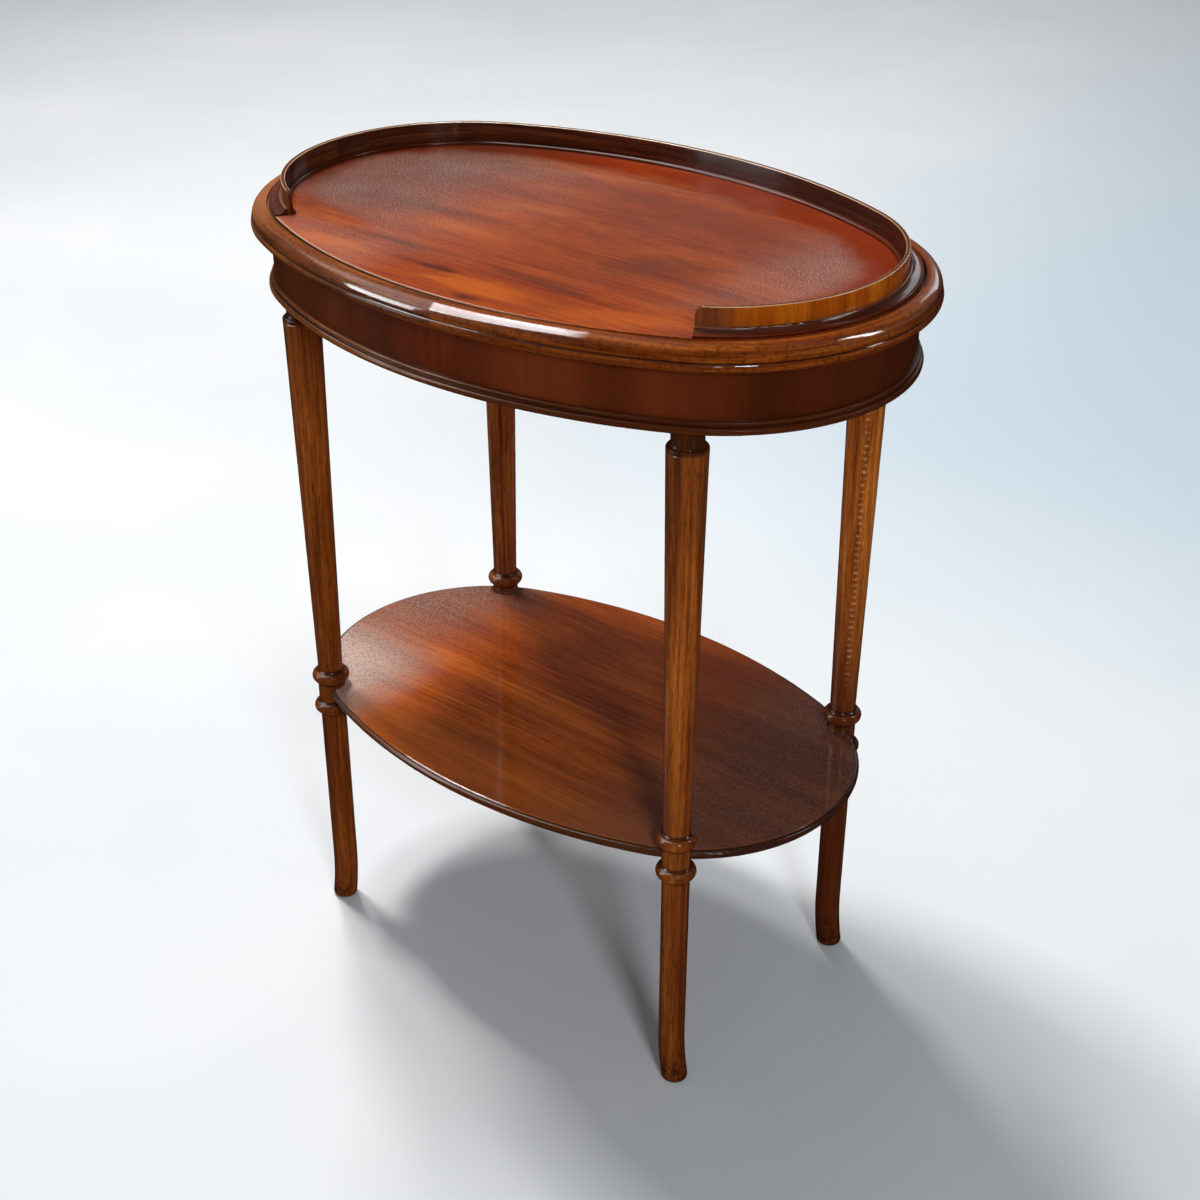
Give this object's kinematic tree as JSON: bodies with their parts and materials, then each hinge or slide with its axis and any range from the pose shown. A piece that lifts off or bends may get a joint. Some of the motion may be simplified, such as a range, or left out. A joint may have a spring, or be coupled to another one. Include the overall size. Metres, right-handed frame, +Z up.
{
  "type": "side table",
  "caption": "Two-tier oval side table with a moulded top, a three-quarter gallery, a veneered frieze, turned legs and an oval lower shelf.",
  "frame": {"origin": "on the floor, under the middle of the oval top", "axes": "+Z up, +X along the long axis of the oval, +Y towards the closed back of the gallery"},
  "size_m": [0.616, 0.4064, 0.7194],
  "materials": {
    "core_wood": "planed, unpolished",
    "figured_veneer": "french polished, figured mahogany",
    "polished_rim": "french polished mahogany",
    "polished_gallery": "french polished, grain across the strip",
    "polished_bead": "french polished mahogany",
    "frieze_veneer": "french polished, upright grain",
    "apron_bead": "french polished, worn to a lighter brown",
    "polished_leg": "french polished, turned",
    "polished_shelf": "french polished mahogany",
    "dowel_wood": "plain beech",
    "screw_steel": "plain steel wood screws"
  },
  "bodies": {
    "root": {"top_board": "core_wood", "top_veneer": "figured_veneer", "rim_front_left": "polished_rim", "rim_front_right": "polished_rim", "rim_back_right": "polished_rim", "rim_back_left": "polished_rim", "gallery_strip_left": "polished_gallery", "gallery_strip_right": "polished_gallery", "gallery_cove": "polished_bead", "gallery_bead": "polished_bead", "frieze_lower_left_end": "core_wood", "frieze_lower_right_end": "core_wood", "frieze_lower_front_left": "core_wood", "frieze_lower_front_right": "core_wood", "frieze_lower_back_right": "core_wood", "frieze_lower_back_left": "core_wood", "frieze_upper_front_side": "core_wood", "frieze_upper_back_side": "core_wood", "frieze_upper_front_left": "core_wood", "frieze_upper_front_right": "core_wood", "frieze_upper_back_right": "core_wood", "frieze_upper_back_left": "core_wood", "frieze_veneer_front": "frieze_veneer", "frieze_veneer_back": "frieze_veneer", "apron_bead_front_left": "apron_bead", "apron_bead_front_right": "apron_bead", "apron_bead_back_right": "apron_bead", "apron_bead_back_left": "apron_bead", "leg_front_left": "polished_leg", "leg_front_right": "polished_leg", "leg_back_right": "polished_leg", "leg_back_left": "polished_leg", "shelf": "polished_shelf", "shelf_dowels": "dowel_wood", "top_screws": "screw_steel"}
  },
  "joints": []
}
